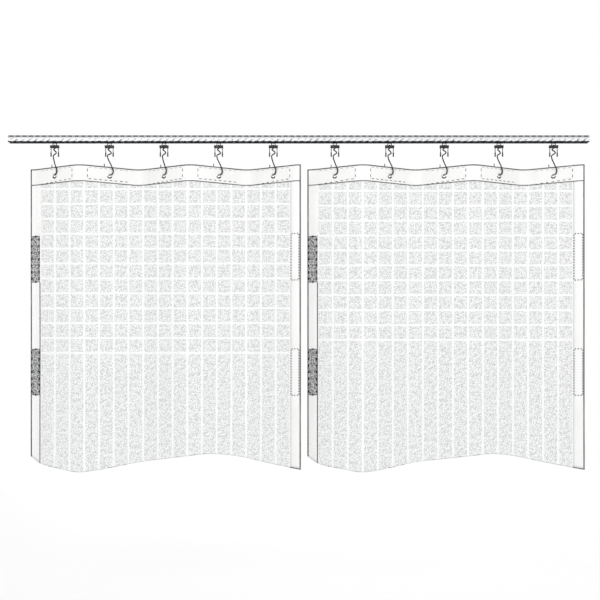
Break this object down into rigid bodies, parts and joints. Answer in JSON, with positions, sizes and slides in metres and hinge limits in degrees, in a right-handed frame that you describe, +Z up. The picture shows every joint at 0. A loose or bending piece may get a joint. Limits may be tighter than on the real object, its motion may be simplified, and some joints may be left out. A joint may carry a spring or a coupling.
{
  "type": "partition curtain",
  "caption": "Clear thread-reinforced sheet curtain with hook-and-loop side hems, hung in folds by wire hooks from wheeled runners in a slotted overhead rail.",
  "frame": {"origin": "middle of the rail's top face, by which the curtain is fixed overhead", "axes": "+X along the rail to the viewer's right, +Y to the back, +Z up"},
  "size_m": [2.65, 0.1176, 1.5318],
  "materials": {
    "rail_steel": "galvanised",
    "runner_steel": "zinc plated",
    "wheel_nylon": "moulded",
    "hook_wire": "zinc plated wire",
    "sheet": "clear film with white threads and white hems",
    "header_plate": "plain",
    "loop_tape": "woven loop pile",
    "hook_tape": "woven hook pile"
  },
  "bodies": {
    "rail": {"rail": "rail_steel"},
    "runner_left_1": {"runner_left_1": "runner_steel"},
    "wheels_left_1": {"wheel_set_left_1": "wheel_nylon"},
    "strip_left_1": {"sheet_left_1": "sheet", "hook_left_1": "hook_wire", "header_plate_left_1": "header_plate", "loop_tape_left_upper": "loop_tape", "loop_tape_left_lower": "loop_tape"},
    "runner_left_2": {"runner_left_2": "runner_steel"},
    "wheels_left_2": {"wheel_set_left_2": "wheel_nylon"},
    "strip_left_2": {"sheet_left_2": "sheet", "hook_left_2": "hook_wire", "header_plate_left_2": "header_plate"},
    "runner_left_3": {"runner_left_3": "runner_steel"},
    "wheels_left_3": {"wheel_set_left_3": "wheel_nylon"},
    "strip_left_3": {"sheet_left_3": "sheet", "hook_left_3": "hook_wire", "header_plate_left_3": "header_plate"},
    "runner_left_4": {"runner_left_4": "runner_steel"},
    "wheels_left_4": {"wheel_set_left_4": "wheel_nylon"},
    "strip_left_4": {"sheet_left_4": "sheet", "hook_left_4": "hook_wire", "header_plate_left_4": "header_plate"},
    "runner_left_5": {"runner_left_5": "runner_steel"},
    "wheels_left_5": {"wheel_set_left_5": "wheel_nylon"},
    "strip_left_5": {"sheet_left_5": "sheet", "hook_left_5": "hook_wire", "header_plate_left_5": "header_plate", "hook_tape_left_upper": "hook_tape", "hook_tape_left_lower": "hook_tape"},
    "runner_right_5": {"runner_right_5": "runner_steel"},
    "wheels_right_5": {"wheel_set_right_5": "wheel_nylon"},
    "strip_right_5": {"sheet_right_5": "sheet", "hook_right_5": "hook_wire", "header_plate_right_5": "header_plate", "hook_tape_right_upper": "hook_tape", "hook_tape_right_lower": "hook_tape"},
    "runner_right_4": {"runner_right_4": "runner_steel"},
    "wheels_right_4": {"wheel_set_right_4": "wheel_nylon"},
    "strip_right_4": {"sheet_right_4": "sheet", "hook_right_4": "hook_wire", "header_plate_right_4": "header_plate"},
    "runner_right_3": {"runner_right_3": "runner_steel"},
    "wheels_right_3": {"wheel_set_right_3": "wheel_nylon"},
    "strip_right_3": {"sheet_right_3": "sheet", "hook_right_3": "hook_wire", "header_plate_right_3": "header_plate"},
    "runner_right_2": {"runner_right_2": "runner_steel"},
    "wheels_right_2": {"wheel_set_right_2": "wheel_nylon"},
    "strip_right_2": {"sheet_right_2": "sheet", "hook_right_2": "hook_wire", "header_plate_right_2": "header_plate"},
    "runner_right_1": {"runner_right_1": "runner_steel"},
    "wheels_right_1": {"wheel_set_right_1": "wheel_nylon"},
    "strip_right_1": {"sheet_right_1": "sheet", "hook_right_1": "hook_wire", "header_plate_right_1": "header_plate", "loop_tape_right_upper": "loop_tape", "loop_tape_right_lower": "loop_tape"}
  },
  "joints": [
    {"name": "draw_left", "type": "slide", "parent": "rail", "child": "runner_left_1", "axis": [1, 0, 0], "range_m": [-0.16, 0.08]},
    {"name": "fold_left", "type": "hinge", "parent": "runner_left_1", "child": "strip_left_1", "pos_m": [-1.116, 0, -0.0424], "axis": [0, 0, -1], "range_deg": [0, 50]},
    {"name": "roll_left_1", "type": "hinge", "parent": "runner_left_1", "child": "wheels_left_1", "pos_m": [-1.116, 0, -0.0181], "axis": [0, 1, 0], "continuous": true},
    {"name": "crease_left_2", "type": "hinge", "parent": "strip_left_1", "child": "strip_left_2", "pos_m": [-0.991, -0.05558, -0.8155], "axis": [0, 0, 1], "range_deg": [-1, 101]},
    {"name": "swivel_left_2", "type": "hinge", "parent": "strip_left_2", "child": "runner_left_2", "pos_m": [-0.866, 0, -0.0424], "axis": [0, 0, -1], "range_deg": [-1, 51]},
    {"name": "roll_left_2", "type": "hinge", "parent": "runner_left_2", "child": "wheels_left_2", "pos_m": [-0.866, 0, -0.0181], "axis": [0, 1, 0], "continuous": true},
    {"name": "crease_left_3", "type": "hinge", "parent": "strip_left_2", "child": "strip_left_3", "pos_m": [-0.741, 0.05558, -0.8155], "axis": [0, 0, -1], "range_deg": [-1, 101]},
    {"name": "swivel_left_3", "type": "hinge", "parent": "strip_left_3", "child": "runner_left_3", "pos_m": [-0.616, 0, -0.0424], "axis": [0, 0, 1], "range_deg": [-1, 51]},
    {"name": "roll_left_3", "type": "hinge", "parent": "runner_left_3", "child": "wheels_left_3", "pos_m": [-0.616, 0, -0.0181], "axis": [0, 1, 0], "continuous": true},
    {"name": "crease_left_4", "type": "hinge", "parent": "strip_left_3", "child": "strip_left_4", "pos_m": [-0.491, -0.05558, -0.8155], "axis": [0, 0, 1], "range_deg": [-1, 101]},
    {"name": "swivel_left_4", "type": "hinge", "parent": "strip_left_4", "child": "runner_left_4", "pos_m": [-0.366, 0, -0.0424], "axis": [0, 0, -1], "range_deg": [-1, 51]},
    {"name": "roll_left_4", "type": "hinge", "parent": "runner_left_4", "child": "wheels_left_4", "pos_m": [-0.366, 0, -0.0181], "axis": [0, 1, 0], "continuous": true},
    {"name": "crease_left_5", "type": "hinge", "parent": "strip_left_4", "child": "strip_left_5", "pos_m": [-0.241, 0.05558, -0.8155], "axis": [0, 0, -1], "range_deg": [-1, 101]},
    {"name": "swivel_left_5", "type": "hinge", "parent": "strip_left_5", "child": "runner_left_5", "pos_m": [-0.116, 0, -0.0424], "axis": [0, 0, 1], "range_deg": [-1, 51]},
    {"name": "roll_left_5", "type": "hinge", "parent": "runner_left_5", "child": "wheels_left_5", "pos_m": [-0.116, 0, -0.0181], "axis": [0, 1, 0], "continuous": true},
    {"name": "draw_right", "type": "slide", "parent": "rail", "child": "runner_right_5", "axis": [1, 0, 0], "range_m": [-0.08, 0.115]},
    {"name": "fold_right", "type": "hinge", "parent": "runner_right_5", "child": "strip_right_5", "pos_m": [1.166, 0, -0.0424], "axis": [0, 0, -1], "range_deg": [0, 50]},
    {"name": "roll_right_5", "type": "hinge", "parent": "runner_right_5", "child": "wheels_right_5", "pos_m": [1.166, 0, -0.0181], "axis": [0, 1, 0], "continuous": true},
    {"name": "crease_right_4", "type": "hinge", "parent": "strip_right_5", "child": "strip_right_4", "pos_m": [1.041, 0.05558, -0.8155], "axis": [0, 0, 1], "range_deg": [-1, 101]},
    {"name": "swivel_right_4", "type": "hinge", "parent": "strip_right_4", "child": "runner_right_4", "pos_m": [0.916, 0, -0.0424], "axis": [0, 0, -1], "range_deg": [-1, 51]},
    {"name": "roll_right_4", "type": "hinge", "parent": "runner_right_4", "child": "wheels_right_4", "pos_m": [0.916, 0, -0.0181], "axis": [0, 1, 0], "continuous": true},
    {"name": "crease_right_3", "type": "hinge", "parent": "strip_right_4", "child": "strip_right_3", "pos_m": [0.791, -0.05558, -0.8155], "axis": [0, 0, -1], "range_deg": [-1, 101]},
    {"name": "swivel_right_3", "type": "hinge", "parent": "strip_right_3", "child": "runner_right_3", "pos_m": [0.666, 0, -0.0424], "axis": [0, 0, 1], "range_deg": [-1, 51]},
    {"name": "roll_right_3", "type": "hinge", "parent": "runner_right_3", "child": "wheels_right_3", "pos_m": [0.666, 0, -0.0181], "axis": [0, 1, 0], "continuous": true},
    {"name": "crease_right_2", "type": "hinge", "parent": "strip_right_3", "child": "strip_right_2", "pos_m": [0.541, 0.05558, -0.8155], "axis": [0, 0, 1], "range_deg": [-1, 101]},
    {"name": "swivel_right_2", "type": "hinge", "parent": "strip_right_2", "child": "runner_right_2", "pos_m": [0.416, 0, -0.0424], "axis": [0, 0, -1], "range_deg": [-1, 51]},
    {"name": "roll_right_2", "type": "hinge", "parent": "runner_right_2", "child": "wheels_right_2", "pos_m": [0.416, 0, -0.0181], "axis": [0, 1, 0], "continuous": true},
    {"name": "crease_right_1", "type": "hinge", "parent": "strip_right_2", "child": "strip_right_1", "pos_m": [0.291, -0.05558, -0.8155], "axis": [0, 0, -1], "range_deg": [-1, 101]},
    {"name": "swivel_right_1", "type": "hinge", "parent": "strip_right_1", "child": "runner_right_1", "pos_m": [0.166, 0, -0.0424], "axis": [0, 0, 1], "range_deg": [-1, 51]},
    {"name": "roll_right_1", "type": "hinge", "parent": "runner_right_1", "child": "wheels_right_1", "pos_m": [0.166, 0, -0.0181], "axis": [0, 1, 0], "continuous": true}
  ],
  "couplings": [
    {"joint": "roll_left_1", "follows": "draw_left", "rad_per_m": 100},
    {"joint": "crease_left_2", "follows": "fold_left", "ratio": 2},
    {"joint": "swivel_left_2", "follows": "fold_left", "ratio": 1},
    {"joint": "roll_left_2", "follows": "draw_left", "rad_per_m": 100},
    {"joint": "crease_left_3", "follows": "fold_left", "ratio": 2},
    {"joint": "swivel_left_3", "follows": "fold_left", "ratio": 1},
    {"joint": "roll_left_3", "follows": "draw_left", "rad_per_m": 100},
    {"joint": "crease_left_4", "follows": "fold_left", "ratio": 2},
    {"joint": "swivel_left_4", "follows": "fold_left", "ratio": 1},
    {"joint": "roll_left_4", "follows": "draw_left", "rad_per_m": 100},
    {"joint": "crease_left_5", "follows": "fold_left", "ratio": 2},
    {"joint": "swivel_left_5", "follows": "fold_left", "ratio": 1},
    {"joint": "roll_left_5", "follows": "draw_left", "rad_per_m": 100},
    {"joint": "roll_right_5", "follows": "draw_right", "rad_per_m": 100},
    {"joint": "crease_right_4", "follows": "fold_right", "ratio": 2},
    {"joint": "swivel_right_4", "follows": "fold_right", "ratio": 1},
    {"joint": "roll_right_4", "follows": "draw_right", "rad_per_m": 100},
    {"joint": "crease_right_3", "follows": "fold_right", "ratio": 2},
    {"joint": "swivel_right_3", "follows": "fold_right", "ratio": 1},
    {"joint": "roll_right_3", "follows": "draw_right", "rad_per_m": 100},
    {"joint": "crease_right_2", "follows": "fold_right", "ratio": 2},
    {"joint": "swivel_right_2", "follows": "fold_right", "ratio": 1},
    {"joint": "roll_right_2", "follows": "draw_right", "rad_per_m": 100},
    {"joint": "crease_right_1", "follows": "fold_right", "ratio": 2},
    {"joint": "swivel_right_1", "follows": "fold_right", "ratio": 1},
    {"joint": "roll_right_1", "follows": "draw_right", "rad_per_m": 100}
  ]
}
